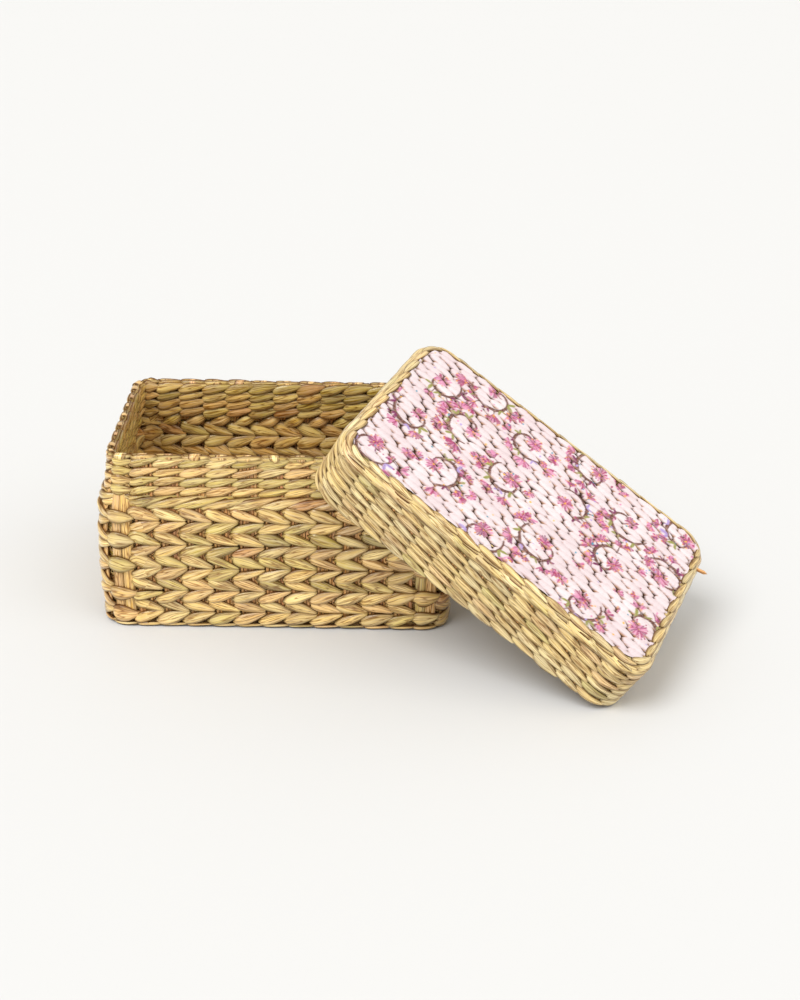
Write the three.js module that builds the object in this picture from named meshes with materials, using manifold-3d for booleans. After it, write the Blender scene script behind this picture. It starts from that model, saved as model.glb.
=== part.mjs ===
// Woven reed box with a lift-off lid. The lid is off and leans on the box's front right corner.
// Millimetres, +Z up. The origin is the middle of the box's underside, the front faces -Y.
// Each wall is stakes between an outside and an inside lay of weaving strands.
// A twined row is given as plain bands, without the crossing of its two strands.

import * as THREE from 'three';
import { mergeVertices } from 'three/addons/utils/BufferGeometryUtils.js';
import Module from 'manifold-3d';

// Box
const boxLength = 280; // over the fullest course of the lower wall
const boxWidth = 184;
const cornerRadius = 25; // at the fullest course, and round the lid
const bellySag = 2.5; // how far the lower wall swells past its foot and its top
const seatInset = 7.5; // step in from the lower wall to the foot of the lid's seat
const rimLean = 3; // how much further in the rim stands than the seat's foot

// Rows, from the floor up
const baseEdgeHeight = 4;
const chevronCourses = 5; // each is two rows that slant opposite ways
const courseHeight = 19.3;
const waleHeight = 9.7;
const upperRows = 4;
const upperRowHeight = 7.2;
const borderHeight = 2.7;

// Strands and stakes
const lowerLay = 3; // outside strands of the lower wall, at their thinnest
const upperLay = 2.4; // outside strands of the seat, at the rim
const insideLay = 2.6; // inside strands of the lower wall
const upperInsideLay = 2;
const stakeThickness = 1.6;
const stakeWidth = 12; // a few thin reeds side by side
const cornerStakeWidth = 5;
const crossStakes = 11; // up the front, across the base and up the back
const longStakes = 7; // up the left end, along the base and up the right end
const cornerMargin = 9; // from a corner's arc to the nearest cross stake
const endMargin = 1.5; // from a corner's arc to the nearest long stake
const cornerStakeTurn = 8; // degrees from the long wall's face to a corner stake
const baseLay = 2.6;
const strandRound = 0.8; // rounding of a strand's edges
const rowGroove = 1.4; // depth of the groove between the two rows of a course
const clearance = 0.3; // between neighbouring pieces

// Lid
const lidHeight = 52;
const lidSlip = 0.9; // between the lid's inside and the foot of its seat
const lidRows = 7;
const lidLay = 2.6;
const lidInsideLay = 2;
const lidStakeThickness = 1.4;
const lidStakeStep = 0.7; // how much lower the lid's long stakes lie, pressed into the cross ones
const lidEdgeRound = 2; // rounding of the lid's top edge
const printThickness = 0.5;
const printMargin = 6; // bare weave left round the print

// How the lid leans: its bottom edge rests on the floor, the right rim and the front rim
const lidTurn = -21.4; // degrees about Z
const lidRoll = 7.8; // degrees about the lid's own length
const lidPastRight = 33.5; // middle of the lid's bottom, past the box's right end
const lidPastFront = -7.5; // the same, past the box's front, negative behind it
const floorGap = 0.3;

const degree = Math.PI / 180;
const cornerSteps = 5;

// Insets from the box's outline to the faces that the wall's layers share
const lowerHoleInset = bellySag + lowerLay;
const lowerStakeInset = lowerHoleInset + clearance;
const lowerInsideInset = lowerStakeInset + stakeThickness + clearance;
const rimInset = seatInset + rimLean;
const upperHoleInset = rimInset + upperLay;
const upperStakeInset = upperHoleInset + clearance;
const upperInsideInset = upperStakeInset + stakeThickness + clearance;
const mouthInset = upperInsideInset + upperInsideLay;

// Heights where the zones meet
const coursesFoot = baseEdgeHeight + clearance;
const waleFoot = coursesFoot + chevronCourses * (courseHeight + clearance);
const seatFoot = waleFoot + waleHeight + clearance;
const borderFoot = seatFoot + upperRows * (upperRowHeight + clearance);
const boxHeight = borderFoot + borderHeight;
const crossStakeFoot = baseLay + clearance;
const longStakeFoot = crossStakeFoot + stakeThickness + clearance;
const baseInsideFoot = longStakeFoot + stakeThickness + clearance;
const baseTop = baseInsideFoot + baseLay;
const stakeTop = borderFoot - clearance;

// The lid slips over the seat, so its outline follows from the seat and the lid's wall
const lidStakeInset = lidLay + clearance;
const lidInsideInset = lidStakeInset + lidStakeThickness + clearance;
const lidWall = lidInsideInset + lidInsideLay;
const lidGrowth = lidSlip + lidWall - seatInset;
const lidLength = boxLength + 2 * lidGrowth;
const lidWidth = boxWidth + 2 * lidGrowth;
const lidRadius = cornerRadius + lidGrowth;
const printFoot = lidHeight - printThickness;
const lidTopFoot = printFoot - clearance - lidLay;
const lidStakeTop = lidTopFoot - clearance;
const lidInsideFoot = lidStakeTop - lidStakeStep - lidStakeThickness - clearance - lidInsideLay;
const lidRowHeight = (lidTopFoot - lidRows * clearance) / lidRows;

const wasm = await Module();
wasm.setup();

const box = { length: boxLength, width: boxWidth, radius: cornerRadius };
const lid = { length: lidLength, width: lidWidth, radius: lidRadius };

// Colours of the dried reed, from the photograph
const strawColours = ['#b99a62', '#c3a56c', '#ad9159', '#bda06a'];
const stakeColour = '#a8854f';
const insideColour = '#94794a';
const lidColour = '#ccb47c';
const printColour = '#ecd6da';

function reed(colour) {
  return new THREE.MeshStandardMaterial({ color: colour, roughness: 0.55, metalness: 0 });
}

function roundedRectangle(outline, inset) {
  const radius = outline.radius - inset;
  const x = outline.length / 2 - outline.radius;
  const y = outline.width / 2 - outline.radius;
  const shape = new THREE.Shape();
  shape.absarc(x, y, radius, 0, Math.PI / 2);
  shape.absarc(-x, y, radius, Math.PI / 2, Math.PI);
  shape.absarc(-x, -y, radius, Math.PI, 1.5 * Math.PI);
  shape.absarc(x, -y, radius, 1.5 * Math.PI, 2 * Math.PI);
  return shape;
}

// A band that goes round an outline, with its section given as [inset, height] points
function band(outline, section) {
  const positions = [];
  const faces = [];
  const corners = [[1, 1], [-1, 1], [-1, -1], [1, -1]];
  for (const [quarter, [signX, signY]] of corners.entries()) {
    for (let step = 0; step <= cornerSteps; step += 1) {
      const angle = (quarter + step / cornerSteps) * Math.PI / 2;
      for (const [inset, height] of section) {
        positions.push(
          signX * (outline.length / 2 - outline.radius) + (outline.radius - inset) * Math.cos(angle),
          signY * (outline.width / 2 - outline.radius) + (outline.radius - inset) * Math.sin(angle),
          height,
        );
      }
    }
  }
  const around = corners.length * (cornerSteps + 1);
  const across = section.length;
  for (let i = 0; i < around; i += 1) {
    for (let j = 0; j < across; j += 1) {
      const a = i * across + j;
      const b = ((i + 1) % around) * across + j;
      const c = ((i + 1) % around) * across + (j + 1) % across;
      const d = i * across + (j + 1) % across;
      faces.push(a, b, c, a, c, d);
    }
  }
  const geometry = new THREE.BufferGeometry();
  geometry.setAttribute('position', new THREE.Float32BufferAttribute(positions, 3));
  geometry.setIndex(faces);
  geometry.computeVertexNormals();
  return geometry;
}

// Section of one strand, its outside edges rounded
function strandSection(outside, inside, foot, height) {
  return [
    [inside, foot],
    [outside + strandRound, foot],
    [outside, foot + strandRound],
    [outside, foot + height - strandRound],
    [outside + strandRound, foot + height],
    [inside, foot + height],
  ];
}

// Section of a chevron course, two strands with a groove between them
function courseSection(outside, inside, foot, height) {
  const middle = foot + height / 2;
  const shoulder = strandRound * 2;
  return [
    [inside, foot],
    [outside + strandRound, foot],
    [outside, foot + shoulder],
    [outside, middle - shoulder],
    [outside + rowGroove, middle],
    [outside, middle + shoulder],
    [outside, foot + height - shoulder],
    [outside + strandRound, foot + height],
    [inside, foot + height],
  ];
}

// Section of the thick wale row, whose back leans in with the stakes and whose top is the lid's ledge
function waleSection() {
  const lean = (upperHoleInset - lowerHoleInset) * waleHeight / (seatFoot - waleFoot);
  const section = strandSection(bellySag, lowerHoleInset, waleFoot, waleHeight);
  section[section.length - 1][0] += lean;
  return section;
}

function plainSection(outside, inside, foot, top) {
  return [[inside, foot], [outside, foot], [outside, top], [inside, top]];
}

function plate(outline, inset, foot, thickness, round) {
  const geometry = new THREE.ExtrudeGeometry(roundedRectangle(outline, inset), {
    depth: thickness - 2 * round,
    bevelEnabled: round > 0,
    bevelThickness: round,
    bevelSize: round,
    bevelOffset: -round,
    bevelSegments: 1,
    curveSegments: cornerSteps,
  });
  geometry.translate(0, 0, foot + round);
  return geometry;
}

function piece(name, geometry, colour) {
  const mesh = new THREE.Mesh(geometry, reed(colour));
  mesh.name = name;
  return mesh;
}

// One leg of a stake, seen from its side: upright, in at the seat, upright again to the border
function legOutside(lower, upper, foot) {
  return [[lower, foot], [lower, waleFoot], [upper, seatFoot], [upper, stakeTop]];
}

function legInside(lower, upper, foot) {
  const [, knee, bend, top] = legOutside(lower - stakeThickness, upper - stakeThickness, foot);
  return [top, bend, knee];
}

function stakeGeometry(points, width) {
  const shape = new THREE.Shape(points.map(([x, y]) => new THREE.Vector2(x, y)));
  const geometry = new THREE.ExtrudeGeometry(shape, { depth: width, bevelEnabled: false });
  geometry.translate(0, 0, -width / 2);
  return geometry;
}

function mirrored(points) {
  return points.map(([x, y]) => [-x, y]).reverse();
}

// A stake that goes up two walls and across the base between them
function doubleStake(halfSpan, foot) {
  const lower = halfSpan - lowerStakeInset;
  const upper = halfSpan - upperStakeInset;
  const outside = legOutside(lower, upper, foot);
  const inside = legInside(lower, upper, foot);
  const floorCorner = [lower - stakeThickness, foot + stakeThickness];
  const half = [...outside, ...inside, floorCorner];
  return stakeGeometry([...half, ...mirrored(half)], stakeWidth);
}

function cornerStake() {
  const lower = cornerRadius - lowerStakeInset - clearance;
  const upper = cornerRadius - upperStakeInset - clearance;
  const inside = legInside(lower, upper, crossStakeFoot);
  const foot = [lower - stakeThickness, crossStakeFoot];
  return stakeGeometry([...legOutside(lower, upper, crossStakeFoot), ...inside, foot], cornerStakeWidth);
}

function evenly(count, span, margin) {
  const reach = span / 2 - cornerRadius - margin - stakeWidth / 2;
  return Array.from({ length: count }, (_, i) => reach * (2 * i / (count - 1) - 1));
}

function twoDigits(number) {
  return String(number).padStart(2, '0');
}

function lowerBulge(height) {
  const middle = (coursesFoot + waleFoot) / 2;
  return bellySag * ((height - middle) / (waleFoot - middle)) ** 2;
}

function buildBox() {
  const group = new THREE.Group();

  const edge = strandSection(bellySag, lowerHoleInset, 0, baseEdgeHeight);
  group.add(piece('base_edge_strand', band(box, edge), strawColours[2]));
  group.add(piece('base_weave_under', plate(box, lowerStakeInset, 0, baseLay, 0), strawColours[0]));
  const baseInside = plate(box, lowerInsideInset, baseInsideFoot, baseLay, 0);
  group.add(piece('base_weave_inside', baseInside, insideColour));

  evenly(crossStakes, boxLength, cornerMargin).forEach((x, i) => {
    const geometry = doubleStake(boxWidth / 2, crossStakeFoot);
    const stake = piece(`cross_stake_${twoDigits(i + 1)}`, geometry, stakeColour);
    stake.rotation.set(Math.PI / 2, 0, Math.PI / 2, 'ZYX');
    stake.position.x = x;
    group.add(stake);
  });
  evenly(longStakes, boxWidth, endMargin).forEach((y, i) => {
    const geometry = doubleStake(boxLength / 2, longStakeFoot);
    const stake = piece(`long_stake_${twoDigits(i + 1)}`, geometry, stakeColour);
    stake.rotation.set(Math.PI / 2, 0, 0);
    stake.position.y = y;
    group.add(stake);
  });
  const cornerNames = ['back_right', 'back_left', 'front_left', 'front_right'];
  cornerNames.forEach((name, i) => {
    const stake = piece(`corner_stake_${name}`, cornerStake(), stakeColour);
    const wall = i < 2 ? 90 : 270; // the way the long wall faces
    const angle = THREE.MathUtils.degToRad(wall + (i % 2 ? cornerStakeTurn : -cornerStakeTurn));
    stake.rotation.set(Math.PI / 2, 0, angle, 'ZYX');
    stake.position.x = Math.sign(Math.cos(angle)) * (boxLength / 2 - cornerRadius);
    stake.position.y = Math.sign(Math.sin(angle)) * (boxWidth / 2 - cornerRadius);
    group.add(stake);
  });

  for (let i = 0; i < chevronCourses; i += 1) {
    const foot = coursesFoot + i * (courseHeight + clearance);
    const bulge = lowerBulge(foot + courseHeight / 2);
    const section = courseSection(bulge, lowerHoleInset, foot, courseHeight);
    group.add(piece(`chevron_course_${i + 1}`, band(box, section), strawColours[i % 4]));
  }
  group.add(piece('wale_row', band(box, waleSection()), strawColours[1]));
  const insideFoot = baseTop + clearance;
  const lowerInside = plainSection(
    lowerInsideInset, lowerInsideInset + insideLay, insideFoot, waleFoot - clearance,
  );
  group.add(piece('lower_weave_inside', band(box, lowerInside), insideColour));

  for (let i = 0; i < upperRows; i += 1) {
    const foot = seatFoot + i * (upperRowHeight + clearance);
    const inset = seatInset + rimLean * i / (upperRows - 1);
    const section = strandSection(inset, upperHoleInset, foot, upperRowHeight);
    group.add(piece(`seat_row_${i + 1}`, band(box, section), strawColours[(i + 1) % 4]));
  }
  const upperInside = plainSection(upperInsideInset, mouthInset, waleFoot, stakeTop);
  group.add(piece('seat_weave_inside', band(box, upperInside), insideColour));
  const border = strandSection(rimInset, mouthInset, borderFoot, borderHeight);
  group.add(piece('folded_border', band(box, border), strawColours[0]));
  return group;
}

function asSolid(geometry) {
  const bare = new THREE.BufferGeometry();
  bare.setAttribute('position', geometry.attributes.position);
  if (geometry.index) bare.setIndex(geometry.index);
  const welded = mergeVertices(bare);
  const vertProperties = new Float32Array(welded.attributes.position.array);
  const triVerts = new Uint32Array(welded.index.array);
  return new wasm.Manifold(new wasm.Mesh({ numProp: 3, vertProperties, triVerts }));
}

function asGeometry(solid) {
  const mesh = solid.getMesh();
  const geometry = new THREE.BufferGeometry();
  geometry.setAttribute('position', new THREE.BufferAttribute(mesh.vertProperties, 3));
  geometry.setIndex(new THREE.BufferAttribute(mesh.triVerts, 1));
  return geometry;
}

// The lid's stakes lie across its top and turn down into the skirt, joined where they cross
function lidStake(halfSpan, top) {
  const outside = halfSpan - lidStakeInset;
  const inside = outside - lidStakeThickness;
  const half = [[outside, clearance], [outside, top]];
  const inner = [[inside, top - lidStakeThickness], [inside, clearance]];
  const points = [...half, ...mirrored(half), ...mirrored(inner), ...inner];
  return stakeGeometry(points, stakeWidth);
}

function lidStakeFrame() {
  const upright = new THREE.Matrix4().makeRotationX(Math.PI / 2);
  const across = new THREE.Matrix4().makeRotationZ(Math.PI / 2).multiply(upright);
  const crossing = evenly(crossStakes, lidLength, cornerMargin).map((x) => (
    lidStake(lidWidth / 2, lidStakeTop).applyMatrix4(across).translate(x, 0, 0)
  ));
  const along = evenly(longStakes, lidWidth, endMargin).map((y) => (
    lidStake(lidLength / 2, lidStakeTop - lidStakeStep).applyMatrix4(upright).translate(0, y, 0)
  ));
  const stakes = [...crossing, ...along].map(asSolid);
  return asGeometry(stakes.reduce((whole, stake) => whole.add(stake)));
}

function buildLid() {
  const group = new THREE.Group();
  for (let i = 0; i < lidRows; i += 1) {
    const foot = i * (lidRowHeight + clearance);
    const section = strandSection(0, lidLay, foot, lidRowHeight);
    group.add(piece(`lid_skirt_row_${i + 1}`, band(lid, section), lidColour));
  }
  const inside = plainSection(lidInsideInset, lidWall, 0, lidInsideFoot - clearance);
  group.add(piece('lid_skirt_inside', band(lid, inside), insideColour));
  group.add(piece('lid_stake_frame', lidStakeFrame(), stakeColour));
  const under = plate(lid, lidInsideInset, lidInsideFoot, lidInsideLay, 0);
  group.add(piece('lid_top_inside', under, insideColour));
  const edge = Math.min(lidEdgeRound, lidLay / 2 - clearance);
  group.add(piece('lid_top_weave', plate(lid, lidEdgeRound, lidTopFoot, lidLay, edge), lidColour));
  group.add(piece('lid_print', plate(lid, printMargin, printFoot, printThickness, 0), printColour));
  return group;
}

function inOutline(outline, inset, x, y) {
  const radius = outline.radius - inset;
  const beyondX = Math.max(Math.abs(x) - (outline.length / 2 - outline.radius), 0);
  const beyondY = Math.max(Math.abs(y) - (outline.width / 2 - outline.radius), 0);
  return Math.hypot(beyondX, beyondY) <= radius;
}

// With the lowest point of the skirt on the floor, the gap that a tilt leaves over the box's rim
function leanAt(tilt) {
  const turned = new THREE.Euler(lidRoll * degree, tilt, lidTurn * degree, 'ZYX');
  const x = boxLength / 2 + lidPastRight;
  const y = -boxWidth / 2 - lidPastFront;
  const edgeSteps = 480;
  const edge = [0, lidWall / 2, lidWall].flatMap((inset) => roundedRectangle(lid, inset)
    .getSpacedPoints(edgeSteps)
    .map((point) => new THREE.Vector3(point.x, point.y, 0).applyEuler(turned)));
  const z = floorGap - Math.min(...edge.map((point) => point.z));
  const overRim = edge.filter((point) => inOutline(box, rimInset - clearance, point.x + x, point.y + y)
    && !inOutline(box, mouthInset + clearance, point.x + x, point.y + y));
  const gap = Math.min(...overRim.map((point) => point.z + z - boxHeight));
  return { turned, place: new THREE.Vector3(x, y, z), gap };
}

// The tilt at which the skirt comes down on the rim, by halving the range
function restingLean() {
  let low = 10 * degree;
  let high = 60 * degree;
  for (let i = 0; i < 40; i += 1) {
    const middle = (low + high) / 2;
    if (leanAt(middle).gap > clearance) high = middle;
    else low = middle;
  }
  return leanAt(high);
}

const wovenBox = new THREE.Group();
wovenBox.add(buildBox());
const leaningLid = buildLid();
const lean = restingLean();
leaningLid.rotation.copy(lean.turned);
leaningLid.position.copy(lean.place);
wovenBox.add(leaningLid);

export default wovenBox;
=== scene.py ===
import math

import bmesh
import bpy
import numpy as np
from mathutils import Matrix, Vector


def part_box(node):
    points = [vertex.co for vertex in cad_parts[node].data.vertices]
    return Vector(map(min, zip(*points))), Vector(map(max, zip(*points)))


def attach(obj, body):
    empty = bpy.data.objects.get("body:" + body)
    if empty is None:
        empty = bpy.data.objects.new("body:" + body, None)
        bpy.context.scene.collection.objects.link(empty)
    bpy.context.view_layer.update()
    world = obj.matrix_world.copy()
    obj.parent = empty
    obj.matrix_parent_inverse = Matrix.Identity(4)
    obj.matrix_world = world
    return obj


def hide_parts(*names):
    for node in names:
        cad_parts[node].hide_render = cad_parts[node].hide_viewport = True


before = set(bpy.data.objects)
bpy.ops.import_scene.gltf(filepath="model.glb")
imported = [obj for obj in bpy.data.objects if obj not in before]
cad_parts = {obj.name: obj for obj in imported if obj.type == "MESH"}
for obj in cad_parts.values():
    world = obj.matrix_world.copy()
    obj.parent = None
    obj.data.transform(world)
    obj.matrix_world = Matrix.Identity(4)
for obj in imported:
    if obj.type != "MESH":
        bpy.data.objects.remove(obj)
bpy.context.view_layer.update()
draw = np.random.default_rng(23)
millimetre = 0.001  # sizes below are in millimetres, meshes are in metres


def nodesNamed(start):
    return sorted(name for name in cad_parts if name.startswith(start))


def nodeBox(name):
    low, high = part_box(name)
    return np.array(low) / millimetre, np.array(high) / millimetre


def middle(name, axis):
    low, high = nodeBox(name)
    return (low[axis] + high[axis]) / 2


def screenColours(colours):
    # screen colours turned into the shader's linear values
    linear = {}
    for name, colour in colours.items():
        share = np.array(colour) / 255
        linear[name] = np.where(share <= 0.04045, share / 12.92, ((share + 0.055) / 1.055) ** 2.4)
    return linear


def meshFrom(bm, name):
    mesh = bpy.data.meshes.new(name)
    bm.to_mesh(mesh)
    bm.free()
    return mesh


def addObject(name, data):
    thing = bpy.data.objects.new(name, data)
    bpy.context.scene.collection.objects.link(thing)
    return thing


def newMaterial(name):
    material = bpy.data.materials.new(name)
    material.use_nodes = True
    return material, material.node_tree, material.node_tree.nodes["Principled BSDF"]


def setInputs(node, values):
    for socket, value in values.items():
        node.inputs[socket].default_value = value


# camera, set at the height, distance and turn that the outlines of box and lid give
cameraSpot = {"place": (87.0, -1189.0, 636.0), "down": 25.37, "turn": -0.47, "roll": 1.19, "lens": 57.6}


def placeCamera():
    data = bpy.data.cameras.new("camera")
    data.lens = cameraSpot["lens"]
    data.dof.use_dof = False
    camera = addObject("camera", data)
    camera.location = Vector(cameraSpot["place"]) * millimetre
    turn = Matrix.Rotation(math.radians(cameraSpot["turn"]), 3, "Z")
    tip = Matrix.Rotation(math.radians(90 - cameraSpot["down"]), 3, "X")
    roll = Matrix.Rotation(math.radians(cameraSpot["roll"]), 3, "Z")
    camera.rotation_euler = (turn @ tip @ roll).to_euler()
    bpy.context.scene.camera = camera


placeCamera()
print("camera placed")


# reed finishes: every stroke brings its own tone, the nodes add streaks, blotches and creases, and
# painted shade in the gaps
reedTones = screenColours({
    "straw": (250, 219, 134),
    "cream": (255, 234, 164),
    "tan": (248, 209, 134),
    "olive": (230, 211, 114),
    "moss": (190, 170, 70),
    "rust": (232, 176, 100),
})
reedGrain = {
    # a pattern's strength goes from one value to the other between two values of its noise
    "streaks": {"scale": (0.7, 12.0, 1.0), "noise": {"Scale": 6.0, "Detail": 4.0},
                "shows": (0.8, 0.0), "between": (0.32, 0.47)},
    "blotches": {"scale": (3.0, 4.0, 1.0), "noise": {"Scale": 2.0, "Detail": 3.0},
                 "shows": (0.4, 0.0), "between": (0.3, 0.55)},
    "creases": {"scale": (0.5, 8.0, 1.0), "noise": {"Scale": 6.0, "Detail": 2.0},
                "shows": (0.95, 0.0), "between": (0.0, 0.05)},
    "fibres": {"scale": (0.9, 18.0, 1.0), "noise": {"Scale": 6.0, "Detail": 2.0},
               "shows": (0.0, 0.6), "between": (0.3, 0.7)},
    "darker": (0.53, 0.37, 0.15, 1),  # streaks and blotches, as shares of the tone
    "folded": (0.32, 0.18, 0.055, 1),
    # gap: painted shade down in the gaps and along the reeds' side edges
    "gap": (0.12, 0.045, 0.008, 1),
    "paler": (1.0, 0.93, 0.74, 1),  # fibres
    "palerShare": 0.6,
    "bump": {"Strength": 0.7, "Distance": 0.0008},
}
reedGloss = {
    "specular": 0.65,
    "streakRoughness": (0.1, -0.08),  # rougher in the dark streaks
    "between": (0.3, 0.7),
    "finish": {
        "Specular Tint": (1.0, 0.9, 0.74, 1),
        "Coat Roughness": 0.13,
        "Coat Tint": (1.0, 0.96, 0.85, 1),
    },
}


def reedMaterial(name, shade, roughness, sheen):
    material, tree, shader = newMaterial(name)
    link = tree.links.new

    def add(kind, **settings):
        node = tree.nodes.new(kind)
        for key, value in settings.items():
            setattr(node, key, value)
        return node

    def grain(kind):
        pattern = reedGrain[kind]
        place = add("ShaderNodeMapping")
        place.inputs["Scale"].default_value = pattern["scale"]
        link(strand.outputs["UV"], place.inputs["Vector"])
        noise = add("ShaderNodeTexNoise")
        setInputs(noise, pattern["noise"])
        link(place.outputs["Vector"], noise.inputs["Vector"])
        return noise.outputs["Fac"]

    def spread(value, shows, between):
        rescale = add("ShaderNodeMapRange")
        ends = zip(("From Min", "From Max", "To Min", "To Max"), (*between, *shows))
        setInputs(rescale, dict(ends))
        link(value, rescale.inputs["Value"])
        return rescale.outputs["Result"]

    def patches(value, kind):
        return spread(value, reedGrain[kind]["shows"], reedGrain[kind]["between"])

    def blend(kind, factor, first, second):
        mix = add("ShaderNodeMix", data_type="RGBA", blend_type=kind)
        for socket, value in (("Factor", factor), ("A", first), ("B", second)):
            spot = next(s for s in mix.inputs if s.name == socket and s.enabled)
            if isinstance(value, bpy.types.NodeSocket):
                link(value, spot)
            else:
                spot.default_value = value
        return next(s for s in mix.outputs if s.enabled)

    strand = add("ShaderNodeUVMap", uv_map="strand")
    tone = add("ShaderNodeAttribute", attribute_name="reedTone")
    streak = grain("streaks")
    blotch = grain("blotches")
    crease = grain("creases")
    fibre = grain("fibres")
    colour = blend("MULTIPLY", 1.0, tone.outputs["Color"], shade)
    darker = blend("MULTIPLY", 1.0, colour, reedGrain["darker"])
    colour = blend("MIX", patches(streak, "streaks"), colour, darker)
    colour = blend("MIX", patches(blotch, "blotches"), colour, darker)
    paler = blend("MIX", reedGrain["palerShare"], colour, reedGrain["paler"])
    colour = blend("MIX", patches(fibre, "fibres"), colour, paler)
    # a few dark lines where the reed is folded lengthways
    aside = add("ShaderNodeMath", operation="SUBTRACT")
    aside.inputs[1].default_value = 0.5
    link(crease, aside.inputs[0])
    size = add("ShaderNodeMath", operation="ABSOLUTE")
    link(aside.outputs["Value"], size.inputs[0])
    line = patches(size.outputs["Value"], "creases")
    folded = blend("MULTIPLY", 1.0, colour, reedGrain["folded"])
    colour = blend("MIX", line, colour, folded)
    # painted shade: where the tone's alpha falls to nothing down in the gaps, the colour is darkened and
    # the sheen taken away
    shadedInGap = blend("MULTIPLY", 1.0, colour, reedGrain["gap"])
    colour = blend("MIX", tone.outputs["Alpha"], shadedInGap, colour)
    link(colour, shader.inputs["Base Color"])
    for socket, most in (("Specular IOR Level", reedGloss["specular"]), ("Coat Weight", sheen)):
        lit = add("ShaderNodeMath", operation="MULTIPLY")
        lit.inputs[1].default_value = most
        link(tone.outputs["Alpha"], lit.inputs[0])
        link(lit.outputs["Value"], shader.inputs[socket])
    rough = [roughness + change for change in reedGloss["streakRoughness"]]
    link(spread(streak, rough, reedGloss["between"]), shader.inputs["Roughness"])
    setInputs(shader, reedGloss["finish"])
    bump = add("ShaderNodeBump")
    setInputs(bump, reedGrain["bump"])
    link(streak, bump.inputs["Height"])
    link(bump.outputs["Normal"], shader.inputs["Normal"])
    return material


finishes = {
    "reed_wall": reedMaterial("wallReed", shade=(1.03, 0.98, 0.87, 1), roughness=0.26, sheen=0.95),
    # the box's floor: a darker, browner copy of the wall reed, partly painted shade inside the box,
    # partly a browner reed
    "reed_inside": reedMaterial("shadedInsideReed", shade=(0.84, 0.76, 0.6, 1), roughness=0.26, sheen=0.6),
    # stakes: a deeper amber, partly the reeds' own colour, partly painted shade in the gaps where they
    # show between strokes
    "reed_stake": reedMaterial("stakeReed", shade=(0.88, 0.57, 0.25, 1), roughness=0.5, sheen=0.05),
    "corner": reedMaterial("cornerReed", shade=(1.0, 0.86, 0.62, 1), roughness=0.45, sheen=0.3),
    "reed_lid": reedMaterial("lidReed", shade=(0.89, 0.9, 0.99, 1), roughness=0.38, sheen=0.4),
}
print("reed finishes made")


# tubes: a grid is wrapped along a reed's spine and its seams are welded
reedBody = {
    "around": 10,  # flats round a reed
    "ridge": 0.085,  # how unevenly a dried reed is folded
    "foldEvery": 12,  # stations from one fold to the next
    "steep": 0.7,  # flat face, steep edges
    # edge: painted shade along the reed's side edges, which lie in the gaps
    "edge": 2.8,  # how narrow its dark edge is
    "layoutLength": 100,  # millimetres of reed to one unit of its layout
    "layoutGirth": 0.2,
    "layoutShift": 20,
}
around = reedBody["around"]
gridSheets = {}


def gridSheet(steps):
    if steps not in gridSheets:
        bm = bmesh.new()
        bmesh.ops.create_grid(bm, x_segments=steps, y_segments=around, size=1)
        mesh = meshFrom(bm, "gridSheet")
        mesh.uv_layers.new(name="strand")
        mesh.color_attributes.new("reedTone", "FLOAT_COLOR", "POINT")
        flat = np.array([v.co for v in mesh.vertices])
        corners = np.array([loop.vertex_index for loop in mesh.loops])
        station = np.rint((flat[:, 0] + 1) / 2 * steps).astype(int)
        spoke = np.rint((flat[:, 1] + 1) / 2 * around).astype(int)
        gridSheets[steps] = (mesh, station, spoke, corners)
    return gridSheets[steps]


def unit(vectors):
    return vectors / np.linalg.norm(vectors, axis=1, keepdims=True)


def addReed(bm, spine, outward, wide, thick, tone, closed, guide=None, edge=1.0):
    # spine, the way it faces, breadth, thickness and tone are given station by station
    # a guide is the same line without its dives, so that the breadth stays upright there
    count = len(spine)
    guide = spine if guide is None else guide
    if closed:
        order = np.arange(count + 1) % count
        along = np.roll(spine, -1, axis=0) - np.roll(spine, 1, axis=0)
        level = np.roll(guide, -1, axis=0) - np.roll(guide, 1, axis=0)
    else:
        order = np.arange(count)
        along = np.gradient(spine, axis=0)
        level = np.gradient(guide, axis=0)
    across = unit(np.cross(outward, level))
    facing = unit(np.cross(along, across))
    mesh, station, spoke, corners = gridSheet(len(order) - 1)
    place = order[station]
    angle = spoke % around * 2 * math.pi / around
    half = across * (wide / 2)[:, None]
    depth = facing * (thick / 2)[:, None]
    bulge = np.sign(np.sin(angle)) * np.abs(np.sin(angle)) ** reedBody["steep"]
    folds = max(count // reedBody["foldEvery"], 2)
    ridges = draw.normal(1, reedBody["ridge"], (folds, around))
    slide = np.linspace(0, folds, count, endpoint=False)
    before = slide.astype(int)
    after = (before + 1) % folds
    share = (slide % 1)[:, None]
    uneven = ridges[before] * (1 - share) + ridges[after] * share
    swell = uneven[place, spoke % around]
    sideways = half[place] * (swell * np.cos(angle))[:, None]
    frontways = depth[place] * (swell * bulge)[:, None]
    spots = spine[place] + sideways + frontways
    mesh.vertices.foreach_set("co", (spots * millimetre).ravel())
    stepped = np.linalg.norm(np.diff(spine[order], axis=0), axis=1)
    length = np.concatenate([[0], np.cumsum(stepped)])
    shift = draw.uniform(0, reedBody["layoutShift"], 2)
    lengthways = length[station] / reedBody["layoutLength"] + shift[0]
    girthways = spoke / around * reedBody["layoutGirth"] + shift[1]
    layout = np.stack([lengthways, girthways], axis=1)
    mesh.uv_layers["strand"].data.foreach_set("uv", layout[corners].ravel())
    shade = tone[place].copy()
    # painted shade: the alpha falls at the reed's side edges, which lie in the gaps
    shade[:, 3] *= 1 - edge * np.abs(np.cos(angle)) ** reedBody["edge"]  # edges lie in the gaps
    mesh.color_attributes["reedTone"].data.foreach_set("color", shade.ravel())
    bm.from_mesh(mesh)


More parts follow.
